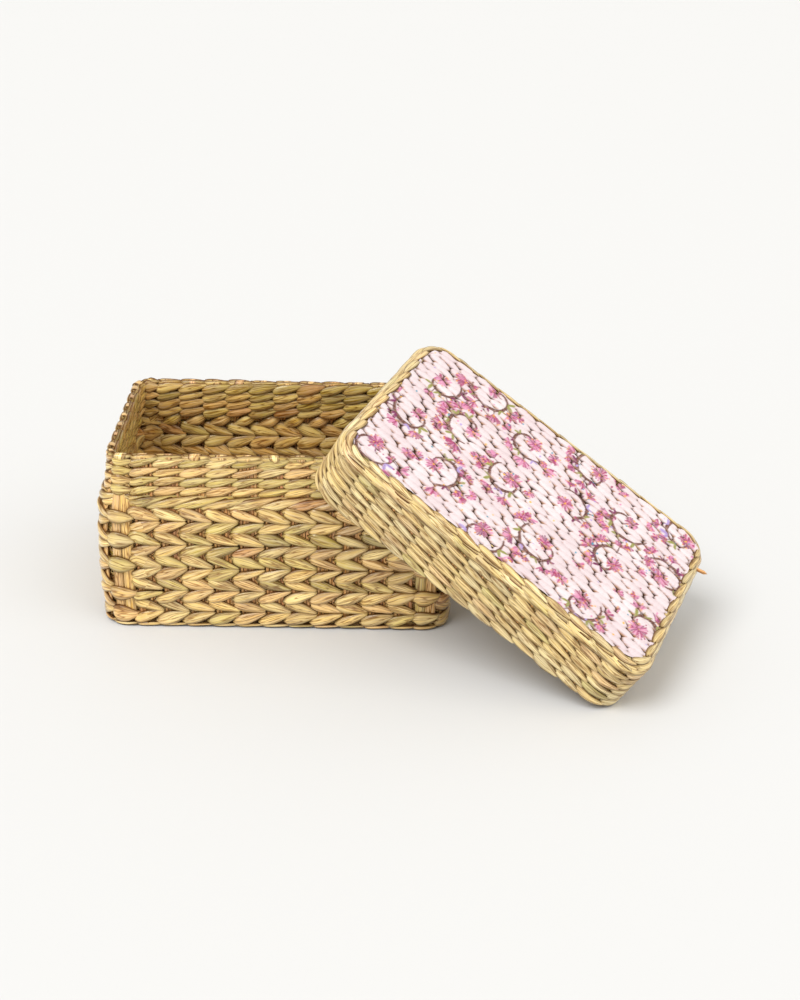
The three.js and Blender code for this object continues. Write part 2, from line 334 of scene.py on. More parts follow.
def finishPiece(bm, name, body, slot, nodes, place=None, finish=None):
    bmesh.ops.remove_doubles(bm, verts=bm.verts, dist=0.00001)
    if place is not None:
        bmesh.ops.transform(bm, matrix=place, verts=bm.verts)
    bmesh.ops.recalc_face_normals(bm, faces=bm.faces)
    mesh = meshFrom(bm, name)
    mesh.shade_smooth()
    mesh.materials.append(finishes[finish or slot])
    piece = addObject(name, mesh)
    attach(piece, body)
    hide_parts(*nodes)


# plan of the walls: four straights and four corners, counted left to right as seen from outside
wallPlan = {
    "cornerRadius": 25.0,
    "stakeRadius": 18.4,
    "sideTurn": 68,  # degrees to the corner's second bundle, which faces the short wall
}
outerCorner = nodeBox("chevron_course_3")[1]
arcX = outerCorner[0] - wallPlan["cornerRadius"]
arcY = outerCorner[1] - wallPlan["cornerRadius"]
quarter = wallPlan["stakeRadius"] * math.pi / 2
runEnds = np.concatenate([[0], np.cumsum([2 * arcX, quarter, 2 * arcY, quarter] * 2)])
arcAcross = arcX * np.array([-1, 1, 1, 1, 1, -1, -1, -1, -1])
arcBack = arcY * np.array([-1, -1, -1, 1, 1, 1, 1, -1, -1])
arcTurn = np.radians([-90, -90, 0, 0, 90, 90, 180, 180, 270])
cornerAside = abs(middle("corner_stake_front_left", 0)) - arcX
cornerAhead = abs(middle("corner_stake_front_left", 1)) - arcY
cornerTurn = math.atan2(cornerAside, cornerAhead)  # from the long wall's face
sideTurn = math.radians(wallPlan["sideTurn"])
cornerRuns = np.array([cornerTurn, sideTurn]) * wallPlan["stakeRadius"]
crossAt = sorted(middle(name, 0) for name in nodesNamed("cross_stake_"))
longAt = sorted(middle(name, 1) for name in nodesNamed("long_stake_"))


def stakeRuns():
    runs = []
    for first, way in ((0, 1), (4, -1)):  # front and right walls, then back and left
        runs += [runEnds[first] + arcX + way * x for x in crossAt[::way]]
        runs += list(runEnds[first + 1] + cornerRuns)
        runs += [runEnds[first + 2] + arcY + way * y for y in longAt[::way]]
        runs += list(runEnds[first + 4] - cornerRuns[::-1])
    return np.array(runs + [runEnds[-1] + runs[0]])


stakeRun = stakeRuns()
stakeCount = len(stakeRun) - 1
halfway = stakeCount // 2
# the corner bundles that face the long walls
cornerStakes = np.array([len(crossAt), halfway - 1, halfway + len(crossAt), stakeCount - 1])
perStake = 16  # stations along one stroke
perMatStroke = 12


def wallAt(run):
    run = np.mod(run, runEnds[-1])
    centre = np.stack([np.interp(run, runEnds, arcAcross), np.interp(run, runEnds, arcBack)], axis=1)
    turn = np.interp(run, runEnds, arcTurn)
    return centre, np.stack([np.cos(turn), np.sin(turn)], axis=1)


# twining: two strands turn half round each other between one stake and the next
toneMixes = {
    "wall": {"straw": 0.30, "cream": 0.20, "tan": 0.26, "olive": 0.17, "moss": 0.04, "rust": 0.03},
    "seat": {"straw": 0.26, "cream": 0.12, "tan": 0.22, "olive": 0.28, "moss": 0.09, "rust": 0.03},
    "lid": {"straw": 0.56, "cream": 0.24, "tan": 0.12, "olive": 0.08},
    "stake": {"tan": 0.40, "straw": 0.36, "cream": 0.14, "rust": 0.10},
    "corner": {"rust": 0.08, "tan": 0.37, "olive": 0.25, "straw": 0.3},
    "border": {"straw": 0.50, "cream": 0.30, "olive": 0.20},
    "fold": {"tan": 0.55, "rust": 0.20, "cream": 0.25},
}
reedChange = {
    "keep": 0.55,  # chance that the next stroke is of the same reed
    "waleKeep": 0.3,
    "shades": (0.78, 1.14),
    # insideShadeLoss: partly painted shade inside, partly the reed's unfaded inner face
    "insideShadeLoss": (0.1, 0.13, 0.36),  # of red, green and blue, where a stroke lies inside
}
stroke = {
    "slide": 0.14,  # broadest just after it comes out, then a long taper
    "full": 0.9,
    "curl": 0.25,  # its ends level out
    "thin": 0.75,  # share of the thickness that its ends keep
    # gapShade: the painted shade left where a stroke dives in between two stakes
    "gapShade": 0.25,
    "point": 1.4,  # blunt where it comes out, pointed where it goes in
    "dive": 2.8,  # how sharply it turns in between two stakes
    "riseVaries": 0.16,
    "wideVaries": 0.12,
    "thickVaries": 0.05,
}
waleShape = {
    "outside": 2.1,  # half of the long outside stroke, as an angle of the three strands' turn
    "slide": 0.15,
    "full": 0.85,
    "along": (-1, -0.8, -0.3, 0.5, 1),  # a stroke comes out in front of the one before
    "depth": (-0.2, 0.7, 1, 0.6, -0.2),  # and ends behind the next
    "inside": 1.3,  # how much deeper and broader it lies inside
    "wideVaries": 0.06,
}
cornerPass = {"near": 1.9, "fall": 2.5, "tuck": 0.75, "level": 0.9, "shorter": 0.5}


def reedTone(mix, strokes, keep=reedChange["keep"]):
    # one reed runs for a few strokes, then the next one is laid in
    names = list(toneMixes[mix])
    shares = list(toneMixes[mix].values())
    tones = np.empty((strokes, 3))
    tone = reedTones[draw.choice(names, p=shares)]
    for i in range(strokes):
        if draw.uniform() > keep:
            tone = reedTones[draw.choice(names, p=shares)]
        tones[i] = tone * draw.uniform(*reedChange["shades"])
    return tones


def overStrokes(count, values):
    # values given stroke by stroke, eased from one to the next
    looped = np.concatenate([values, values[:1]])
    spots = np.arange(len(looped))
    if looped.ndim == 1:
        return np.interp(count, spots, looped)
    return np.stack([np.interp(count, spots, looped[:, i]) for i in range(looped.shape[1])], axis=1)


def insideShade(inward):
    # strokes are darker and browner where they lie inside: partly painted shade, partly the reed's
    # unfaded inner face
    return 1 - np.clip(inward, 0, 1)[:, None] * np.array(reedChange["insideShadeLoss"])


def twist(count, strand, make, lean, mix, strokes):
    wave = np.cos(math.pi * (count + strand))
    side = np.where(wave >= 0, 1, -1)  # outside or inside the stakes
    span = (count + strand + 0.5) % 1 - 0.5  # along one stroke, from -0.5 to 0.5
    slid = span + stroke["slide"] * side * (1 - 4 * span ** 2)
    belly = np.clip(np.cos(math.pi * slid), 0, 1) ** stroke["full"]
    climb = side * 2 * span * (1 + stroke["curl"] - stroke["curl"] * (2 * span) ** 4)
    loose = draw.normal(0, 1, (4, strokes))
    neck = make["neck"] * (1 - stroke["point"] * (1 - make["neck"]) * side * span)
    wide = make["wide"] * (neck + (1 - neck) * belly) * np.where(side > 0, 1, make.get("inner", 1))
    thick = make["thick"] * (stroke["thin"] + (1 - stroke["thin"]) * belly)
    swing = np.tanh(stroke["dive"] * wave) / math.tanh(stroke["dive"])
    rise = lean * make["rise"] * climb * (1 + stroke["riseVaries"] * overStrokes(count, loose[3]))
    tone = overStrokes(count, reedTone(mix, strokes)) * insideShade(-swing)
    # painted shade, darkest where the stroke dives in between the stakes
    lit = stroke["gapShade"] + (1 - stroke["gapShade"]) * np.abs(swing)
    return {
        # strokes reach past their crossings
        "shift": make.get("overlap", 0) * 2 * span * (1 - (2 * span) ** 12),
        "swing": swing * make["swing"],
        "rise": rise + make["loose"] * overStrokes(count, loose[0]),
        "wide": wide * (1 + stroke["wideVaries"] * overStrokes(count, loose[1])),
        "thick": thick * (1 + stroke["thickVaries"] * overStrokes(count, loose[2])),
        "tone": np.column_stack([tone, lit]),
    }


def wale(count, strand, make, lean, mix, strokes):
    # three strands, each out over two stakes and in behind the third
    phase = 2 * math.pi * (count * (strokes - 2) / strokes + strand) / 3
    turn = ((phase + math.pi) % (2 * math.pi) - math.pi) / waleShape["outside"]  # -1 to 1 while outside
    last = math.pi / waleShape["outside"]
    outside = np.abs(turn) < 1
    slid = turn + waleShape["slide"] * (1 - turn ** 2)
    belly = np.clip(np.cos(math.pi / 2 * slid), 0, 1) ** waleShape["full"]
    inward = (last - np.abs(turn)) / (last - 1)
    climb = np.where(outside, turn, np.sign(turn) * inward)
    ahead = np.interp(turn, waleShape["along"], waleShape["depth"])
    behind = waleShape["depth"][0] - waleShape["inside"] * (1 - inward)
    swing = np.where(outside, ahead, behind)
    loose = draw.normal(0, 1, (2, strokes))
    belly = np.where(outside, belly, np.sin(math.pi / 2 * np.clip(1 - inward, 0, 1)))
    wide = make["wide"] * (make["neck"] + (1 - make["neck"]) * belly)
    wide = wide * np.where(outside, 1, waleShape["inside"])
    tone = overStrokes(count, reedTone(mix, strokes, reedChange["waleKeep"])) * insideShade(-swing)
    return {
        "shift": 0,
        "swing": swing * make["swing"],
        "rise": lean * make["rise"] * climb + make["loose"] * overStrokes(count, loose[0]),
        "wide": wide * (1 + waleShape["wideVaries"] * overStrokes(count, loose[1])),
        "thick": make["thick"] * (0.66 + 0.34 * belly),
        # painted shade where the strand turns in behind a stake
        "tone": np.column_stack([tone, 0.8 + 0.2 * np.abs(swing)]),
    }


def nearCorner(count):
    # 1 at a corner stake, falling to 0 before its neighbours
    gap = np.abs(count[:, None] - cornerStakes[None, :])
    gap = np.minimum(gap, stakeCount - gap).min(axis=1)
    return np.clip(cornerPass["near"] - cornerPass["fall"] * gap, 0, 1)


def ringRow(bm, height, reach, make, lean, mix, corner="plain", kind=twist, strands=2, tilt=0, drop=0):
    # a row round the wall: reach is how far its outside stands from the corners' arc centres
    count = np.arange(stakeCount * perStake) / perStake
    stand = reach - make["thick"] / 2 - make["swing"]
    near = nearCorner(count)
    upright = math.cos(math.radians(tilt))
    leaning = math.sin(math.radians(tilt))
    for strand in range(strands):
        way = kind(count, strand, make, lean, mix, stakeCount)
        swing, rise, wide = way["swing"], way["rise"], way["wide"]
        if corner == "behind":  # the row slips behind the corner stake
            swing = swing - near * (swing + cornerPass["tuck"] * make["swing"])
        if corner == "over":  # the row lies broad and level on the corner stake
            rise = rise * (1 - cornerPass["level"] * near) - drop * near
            wide = wide * (1 + make["corner"] * near)
            way["shift"] = way["shift"] * (1 - cornerPass["shorter"] * near)
        lines = []
        for at in (count, (count + way["shift"]) % stakeCount):
            centre, out = wallAt(np.interp(at, np.arange(stakeCount + 1), stakeRun))
            outward = np.column_stack([out * upright, np.full(len(out), leaning)])
            across = np.column_stack([-out * leaning, np.full(len(out), upright)])
            level = np.column_stack([centre + out * stand, np.full(len(out), height)])
            lines.append(level + across * rise[:, None])
        spine = lines[1] + outward * swing[:, None]
        addReed(bm, spine, outward, wide, way["thick"], way["tone"], True, lines[0], make.get("edge", 1))
    return stand


# the box's rows, from the foot to the rim
edgeStrand = {
    "thick": 2.8, "wide": 2.4, "neck": 0.85,
    "swing": 0.9, "rise": 0.3, "loose": 0.05, "lift": 0.5,
}
lowerWeave = {
    "thick": 4.4, "wide": 10.6, "neck": 0.24, "inner": 1.22,
    "swing": 3.0, "rise": 4.0, "loose": 0.3, "overlap": 0.25,
    "rows": ((0.26, 1), (0.76, -1)),  # share of the course's height, and slant
    "corner": 0.3,  # how much broader it lies on a corner stake
    "drops": (-1.4, -0.5, 3.6, 2.2, 2.4),  # and how far it sinks there, course by course
    "lowOver": 2,  # courses whose lower row lies over the corner stakes, above them the upper one
}
waleWeave = {
    "thick": 4.9, "wide": 8.3, "neck": 0.14, "swing": 2.8, "rise": 4.7, "loose": 0.2,
    "inset": 0.6, "stakesBehind": 1.5,
}
seatWeave = {
    "thick": 3.9, "wide": 8.5, "neck": 0.24, "inner": 1.2,
    "swing": 2.2, "rise": 2.6, "loose": 0.3, "overlap": 0.25, "corner": 0.25,
}
stands = []  # height and reach of the stakes' line, row by row


def outerReach(name):
    return nodeBox(name)[1][0] - arcX


def buildBoxRows():
    bm = bmesh.new()
    height = middle("base_edge_strand", 2) + edgeStrand["lift"]
    ringRow(bm, height, outerReach("base_edge_strand"), edgeStrand, 1, "wall")
    finishPiece(bm, "baseEdgeStrand", "box", "reed_wall", ["base_edge_strand"])
    for course, node in enumerate(nodesNamed("chevron_course_"), 1):
        low, high = nodeBox(node)
        tall = high[2] - low[2]
        drop = lowerWeave["drops"][course - 1]
        bm = bmesh.new()
        for share, lean in lowerWeave["rows"]:
            height = low[2] + share * tall
            corner = "over" if (lean > 0) == (course <= lowerWeave["lowOver"]) else "behind"
            stand = ringRow(bm, height, outerReach(node), lowerWeave, lean, "wall", corner, drop=drop)
            stands.append((height, stand))
        hidden = [node, "lower_weave_inside"]
        finishPiece(bm, f"chevronCourse{course}", "box", "reed_wall", hidden)
    bm = bmesh.new()
    height = middle("wale_row", 2)
    reach = outerReach("wale_row") - waleWeave["inset"]
    stand = ringRow(bm, height, reach, waleWeave, 1, "seat", "behind", wale, 3)
    stands.append((height, stand - waleWeave["stakesBehind"]))
    finishPiece(bm, "waleRow", "box", "reed_wall", ["wale_row"])
    for row, node in enumerate(nodesNamed("seat_row_"), 1):
        bm = bmesh.new()
        height = middle(node, 2)
        stand = ringRow(bm, height, outerReach(node), seatWeave, 1, "seat", "over")
        stands.append((height, stand))
        finishPiece(bm, f"seatRow{row}", "box", "reed_wall", [node, "seat_weave_inside"])


buildBoxRows()
print("box rows woven")


# stakes: a few thin reeds side by side, up one wall, across the base and up the other
stakeReed = {
    "reeds": 5, "wide": 2.9, "thick": 2.0,
    "top": 141.0, "foot": 16.0, "stations": 22, "bend": 9.0, "baseHeight": 4.6,
    "forward": 1.2,  # close behind the outer strokes
}
cornerReed = {"reeds": 2, "wide": 8.8, "thick": 1.8, "foot": 3.0, "stations": 24, "spacing": 0.84}
# edge: how strong the painted shade on a stake reed's side edges is
bundle = {"spacing": 0.97, "loose": 0.12, "tip": 0.004, "breadths": (0.88, 1.08), "edge": 0.45}


def stakeReach(height):
    heights, reaches = zip(*stands)
    return np.interp(height, heights, reaches) + stakeReed["forward"]


def tapered(count, size):
    sizes = np.full(count, size)
    sizes[[0, -1]] = bundle["tip"]
    return sizes


def reedRun(bm, spine, side, make, mix):
    # one thin reed with tapered ends
    wide = tapered(len(spine), make["wide"] * draw.uniform(*bundle["breadths"]))
    thick = tapered(len(spine), make["thick"])
    outward = np.cross(unit(np.gradient(spine, axis=0)), np.tile(side, (len(spine), 1)))
    tone = np.tile(np.append(reedTone(mix, 1)[0], 1), (len(spine), 1))
    addReed(bm, spine, outward, wide, thick, tone, False, edge=bundle["edge"])


def loopHalf(heights, reachAt, arc, level, bend):
    # the upright part of a stake, then its turn into the level part
    upright = [(arc + reachAt(z), z) for z in heights]
    side = 1 if level > heights[-1] else -1
    foot = upright[-1][0]
    turn = [(foot - bend * (1 - math.cos(a)), level - side * bend * (1 - math.sin(a)))
            for a in np.radians([15, 35, 55, 75, 90])]
    flat = [(foot - bend - share * (foot - bend), level) for share in (0.35, 0.7)]
    return upright + turn + flat


def doubleStake(bm, half, at, axis, make):
    ends = np.array(half)
    path = np.concatenate([ends, ends[::-1] * np.array([-1, 1])])
    for i in range(make["reeds"]):
        spot = at + (i - (make["reeds"] - 1) / 2) * make["wide"] * bundle["spacing"]
        spine = np.insert(path, axis, spot, axis=1)
        jitter = draw.normal(0, bundle["loose"], spine.shape)
        reedRun(bm, spine + jitter, np.eye(3)[axis], make, "stake")


def buildStakes():
    heights = np.linspace(stakeReed["top"], stakeReed["foot"], stakeReed["stations"])
    for axis, places, arc, name, node in ((0, crossAt, arcY, "crossStake", "cross_stake"),
                                          (1, longAt, arcX, "longStake", "long_stake")):
        half = loopHalf(heights, stakeReach, arc, stakeReed["baseHeight"], stakeReed["bend"])
        for i, at in enumerate(places, 1):
            bm = bmesh.new()
            doubleStake(bm, half, at, axis, stakeReed)
            finishPiece(bm, f"{name}{i:02d}", "box", "reed_stake", [f"{node}_{i:02d}"])
    heights = np.linspace(stakeReed["top"], cornerReed["foot"], cornerReed["stations"])
    step = cornerReed["spacing"] * cornerReed["wide"] / wallPlan["stakeRadius"]
    for name, signs in (("back_right", (1, 1)), ("back_left", (-1, 1)),
                        ("front_left", (-1, -1)), ("front_right", (1, -1))):
        bm = bmesh.new()
        for faces in (cornerTurn, sideTurn):
            for reed in range(cornerReed["reeds"]):
                turn = (reed - (cornerReed["reeds"] - 1) / 2) * step + math.pi / 2 - faces
                out = np.array([math.cos(turn) * signs[0], math.sin(turn) * signs[1]])
                centre = np.array([arcX * signs[0], arcY * signs[1]])
                spine = np.column_stack([centre + out * stakeReach(heights)[:, None], heights])
                reedRun(bm, spine, (-out[1], out[0], 0), cornerReed, "corner")
        piece = "cornerStake" + name.title().replace("_", "")
        finishPiece(bm, piece, "box", "reed_stake", [f"corner_stake_{name}"], finish="corner")


buildStakes()
print("stakes set")


# mats: twined rows that run the length of the base and of the lid's top
baseMat = {
    "thick": 3.4, "wide": 9.6, "neck": 0.5,
    "swing": 2.2, "rise": 2.8, "loose": 0.3, "overlap": 0.1,
    "rows": 20, "height": 5.2, "inset": 5.0, "lean": 1, "endLift": 1.2,
}
topMat = {
    "thick": 2.5, "wide": 7.2, "neck": 0.4,
    "swing": 1.2, "rise": 2.2, "loose": 0.3, "overlap": 0.18,
    "rows": 28, "height": 46.3, "inset": 2.5, "lean": -1, "endLift": -1.2,
}
matRow = {"tones": 16, "firstStroke": 2, "taper": 5, "liftFrom": 8}


def matRows(bm, make, mix):
    pitch = crossAt[1] - crossAt[0]
    halfWidth = outerCorner[1] - make["inset"]
    radius = wallPlan["cornerRadius"] - make["inset"]
    for row in range(make["rows"]):
        y = (2 * (row + 0.5) / make["rows"] - 1) * halfWidth
        past = max(abs(y) - arcY, 0)
        reach = arcX + math.sqrt(max(radius ** 2 - past ** 2, 0))
        lean = make["lean"] if row % 2 else -1
        steps = int(2 * reach / pitch * perMatStroke)
        x = np.linspace(-reach, reach, steps)
        count = (x - crossAt[0]) / pitch + matRow["firstStroke"]
        away = reach - np.abs(x)
        taper = np.clip(np.sqrt(away / matRow["taper"]), 0.002, 1)
        lift = make["endLift"] * np.clip(1 - away / matRow["liftFrom"], 0, 1) ** 2
        for strand in range(2):
            way = twist(count, strand, make, lean, mix, matRow["tones"])
            guide = np.column_stack([x, y + way["rise"], make["height"] + lift])
            spine = guide + np.column_stack([way["shift"] * pitch, 0 * x, way["swing"]])
            outward = np.tile((0, 0, 1), (steps, 1))
            wide = way["wide"] * taper
            thick = way["thick"] * taper
            addReed(bm, spine, outward, wide, thick, way["tone"], False, guide)


def buildBase():
    bm = bmesh.new()
    matRows(bm, baseMat, "wall")
    finishPiece(bm, "baseWeave", "box", "reed_inside", ["base_weave_under", "base_weave_inside"])


buildBase()
print("base woven")


# border: a thin pale pair of strands along the rim, with the stakes' ends folded over it
rimPair = {
    "thick": 3.2, "wide": 4.6, "neck": 0.8,
    "swing": 1.5, "rise": 0.7, "loose": 0.15,
    "belowTop": 3.0, "inset": 0.2,
}
foldedEnd = {
    "wide": 8.0, "thick": 1.0, "radius": 2.9, "low": 0.72, "drop": 3.6, "tuck": 0.75, "slant": 1.6,
    # gapShade: a little painted shade all over the folded ends
    "breadths": (0.8, 1.15), "radii": (0.92, 1.06), "bend": (-8, 188), "stations": 9, "gapShade": 0.9,
}


def buildBorder():
    bm = bmesh.new()
    height = nodeBox("folded_border")[1][2] - rimPair["belowTop"]
    reach = outerReach("folded_border") - rimPair["inset"]
    stand = ringRow(bm, height, reach, rimPair, 1, "border")
    centre, out = wallAt(stakeRun[:-1])
    turn = np.radians(np.linspace(*foldedEnd["bend"], foldedEnd["stations"]))
    for i in range(stakeCount):
        tone = reedTone("fold", 1)[0]
        over = foldedEnd["radius"] * draw.uniform(*foldedEnd["radii"])
        tuck = over * foldedEnd["tuck"]
        away = np.concatenate([[tuck], over * np.cos(turn), [-tuck]])
        top = foldedEnd["low"] * over * np.sin(turn)
        lift = np.concatenate([[-foldedEnd["drop"]], top, [-foldedEnd["drop"]]])
        slant = np.linspace(-1, 1, len(away)) * draw.uniform(-foldedEnd["slant"], foldedEnd["slant"])
        side = np.array([-out[i][1], out[i][0]])
        flat = centre[i] + out[i] * (stand + away)[:, None] + side * slant[:, None]
        spine = np.column_stack([flat, height + lift])
        wide = tapered(len(spine), foldedEnd["wide"] * draw.uniform(*foldedEnd["breadths"]))
        thick = tapered(len(spine), foldedEnd["thick"])
        sides = np.tile(np.append(side, 0), (len(spine), 1))
        outward = np.cross(unit(np.gradient(spine, axis=0)), sides)
        tones = np.tile(np.append(tone, foldedEnd["gapShade"]), (len(spine), 1))
        addReed(bm, spine, outward, wide, thick, tones, False)
    finishPiece(bm, "foldedBorder", "box", "reed_wall", ["folded_border"])


buildBorder()
print("border folded")


# the lid is woven level in its own frame, then laid at the lean that the imported print has
# edge in these rows: how strong the painted shade on the strokes' side edges is
lidSkirt = {
    "thick": 2.4, "wide": 7.7, "neck": 0.26, "inner": 1.1,
    "swing": 1.3, "rise": 2.3, "loose": 0.3, "overlap": 0.24, "edge": 0.85,
}
lidEdge = {
    "thick": 2.8, "wide": 8.4, "neck": 0.4, "swing": 1.1, "rise": 2.4, "loose": 0.3, "edge": 0.7,
    "inset": 0.9, "tilt": 38,
}
lidShoulder = {
    "thick": 2.2, "wide": 6.6, "neck": 0.3,
    "swing": 0.9, "rise": 1.6, "loose": 0.2, "overlap": 0.2,
    "height": 49.0, "inset": 4.6, "tilt": 70,
}
lidReed = {"reeds": 4, "wide": 2.8, "thick": 1.5, "foot": 2, "top": 38, "stations": 8, "bend": 7.0}
lidStub = {"from": (132, 57, 46), "to": (147.5, 61, 47), "wide": 3.0, "thick": 2.4, "stations": 6}
lidPlan = {"printMiddle": 51.75, "firstRow": 4.5, "rowPitch": 6.78}


def lidPlace():
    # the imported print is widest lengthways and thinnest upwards
    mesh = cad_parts["lid_print"].data
    spots = np.array([v.co for v in mesh.vertices])
    middleSpot = (spots.max(axis=0) + spots.min(axis=0)) / 2
    ways = np.linalg.eigh(np.cov((spots - middleSpot).T))[1]
    up = ways[:, 0] * np.sign(ways[2, 0])
    lengthways = ways[:, 2] * np.sign(ways[0, 2])
    sideways = np.cross(up, lengthways)
    place = Matrix(np.column_stack([lengthways, sideways, up])).to_4x4()
    place.translation = Vector(middleSpot - up * lidPlan["printMiddle"] * millimetre)
    return place


def buildLid():
    place = lidPlace()
    reach = wallPlan["cornerRadius"]
    skirtRows = nodesNamed("lid_skirt_row_")
    for row, node in enumerate(skirtRows, 1):
        bm = bmesh.new()
        height = lidPlan["firstRow"] + (row - 1) * lidPlan["rowPitch"]
        if row < len(skirtRows):
            stand = ringRow(bm, height, reach, lidSkirt, -1, "lid")
        else:
            edge = reach - lidEdge["inset"]
            ringRow(bm, height, edge, lidEdge, -1, "lid", "plain", wale, 3, lidEdge["tilt"])
            shoulder = reach - lidShoulder["inset"]
            ringRow(bm, lidShoulder["height"], shoulder, lidShoulder, -1, "lid", tilt=lidShoulder["tilt"])
        finishPiece(bm, f"lidSkirtRow{row}", "lid", "reed_lid", [node, "lid_skirt_inside"], place)
    bm = bmesh.new()
    heights = np.linspace(lidReed["foot"], lidReed["top"], lidReed["stations"])
    for axis, places, arc in ((0, crossAt, arcY), (1, longAt, arcX)):
        half = loopHalf(heights, lambda z: stand, arc, topMat["height"], lidReed["bend"])
        for at in places:
            doubleStake(bm, half, at, axis, lidReed)
    stub = np.linspace(lidStub["from"], lidStub["to"], lidStub["stations"])
    reedRun(bm, stub, (0, 1, 0), lidStub, "fold")
    finishPiece(bm, "lidStakes", "lid", "reed_stake", ["lid_stake_frame"], place)
    bm = bmesh.new()
    matRows(bm, topMat, "lid")
    finishPiece(bm, "lidTopWeave", "lid", "reed_lid", ["lid_top_weave", "lid_top_inside"], place)
    return place


lidLean = buildLid()
print("lid woven")


# print: a thin sheet pasted over the strokes of the lid's top, sunk into the slits between them
printSheet = {"margin": 8.5, "step": 0.7, "top": 51.3, "wobble": 1.4}
leaf = {
    "rows": 27, "long": 19.9, "wide": 8.1, "slope": -0.07, "stagger": 7.2, "oddLonger": 0.4,
    "dip": 2.0, "sink": 0.6, "shadedSlit": 0.05, "seed": 5, "looseStrokes": 24,
    "looseAlong": 0.5, "looseAside": 0.25, "looseSlope": 0.03, "looseWide": 0.06,
    "ends": ((3, 0.7), (1.9, 0.8), (6, 0.7)),  # blunt, pointed and square
}
inks = screenColours({
    "ground": (215, 198, 201),
    "white": (231, 221, 223),
    # shadedSlit: painted shade, near black, of the hollows where the paper sinks between strokes
    "shadedSlit": (52, 25, 5),
    "fringe": (168, 112, 46),
    # crease: painted shade in the paper's folds and in the valleys between leaves
    "crease": (176, 152, 152),
    "stem": (92, 58, 50),
    "bark": (140, 98, 84),
    "leaf": (150, 150, 84),
    "plum": (122, 46, 92),
    "petal": (206, 128, 166),
    "deep": (158, 42, 96),
    "blush": (234, 192, 206),
    "gold": (232, 170, 48),
    "teal": (58, 142, 166),
    "lilac": (172, 152, 206),
})
garden = {
    "seed": 11, "columns": 6, "rows": 3,
    "firstX": -112, "stepX": 45, "looseX": 7,
    "firstY": -58, "stepY": 57, "looseY": 6, "evenY": -9, "oddY": 17,
    "scroll": (17, 22), "leaf": (5, 8), "stalk": (3, 7), "sway": (-0.3, 0.3), "anyTurn": (0, 6.28),
    "tuft": (6, 10), "tuftFan": (0.9, 1.5), "lastTuft": (6, 9), "smallTuft": (3.5, 6),
    "smallFan": (1.2, 3.1),
    "leavesAt": (3, 7, 11, 15), "stalksAt": (1, 5, 9, 13), "tuftsBeside": (18, 24, 30), "dots": 12,
}
penSoft = 0.5  # millimetres over which an ink's edge fades


def nearSpot(canvas, x, y, size):
    return np.flatnonzero((np.abs(canvas["x"] - x) < size) & (np.abs(canvas["y"] - y) < size))


def offsets(canvas, here, x, y):
    return canvas["x"][here] - x, canvas["y"][here] - y


def paint(canvas, here, cover, ink, strength=1.0):
    cover = (np.clip(cover, 0, 1) * strength)[:, None]
    canvas["ink"][here] = canvas["ink"][here] * (1 - cover) + inks[ink] * cover


def penLine(canvas, here, start, end, broad, ink, strength=1.0):
    # a tapered pen line between two spots
    x, y = offsets(canvas, here, *start)
    run, rise = end[0] - start[0], end[1] - start[1]
    share = np.clip((x * run + y * rise) / (run ** 2 + rise ** 2), 0, 1)
    gap = np.hypot(x - share * run, y - share * rise)
    half = (broad[0] + (broad[1] - broad[0]) * share) / 2
    paint(canvas, here, (half - gap) / penSoft + 0.5, ink, strength)


def dot(canvas, here, x, y, size, ink):
    gap = np.hypot(*offsets(canvas, here, x, y))
    paint(canvas, here, (size - gap) / penSoft + 0.5, ink)


def scroll(canvas, x, y, size, start, way):
    # a stem that curls inwards
    here = nearSpot(canvas, x, y, size * 1.3)
    turns = np.linspace(0, 1, 26)
    angle = start + way * turns * 5.2
    ring = size * (1 - 0.72 * turns)
    spots = np.column_stack([x + ring * np.cos(angle), y + ring * np.sin(angle)])
    for i in range(len(spots) - 1):
        broad = np.interp([turns[i], turns[i + 1]], [0, 0.3, 1], [1.4, 3.3, 1.0])
        penLine(canvas, here, spots[i], spots[i + 1], broad, "stem")
        penLine(canvas, here, spots[i] + 0.3, spots[i + 1] + 0.3, broad * 0.35, "bark")
    return spots, angle


def leafPair(canvas, spot, turn, size, ink):
    here = nearSpot(canvas, spot[0], spot[1], size * 1.2)
    x, y = offsets(canvas, here, *spot)
    for side in (-0.7, 0.7):
        along = x * math.cos(turn + side) + y * math.sin(turn + side)
        aside = y * math.cos(turn + side) - x * math.sin(turn + side)
        share = along / size
        broad = size * 0.2 * np.sqrt(np.clip(share * (1 - share) * 4, 0, 1))
        paint(canvas, here, (broad - np.abs(aside)) / penSoft + 0.3, ink)
        rib = np.where((share > 0) & (share < 0.9), 0.9 - np.abs(aside) / 0.4, 0)
        paint(canvas, here, rib, "stem", 0.5)


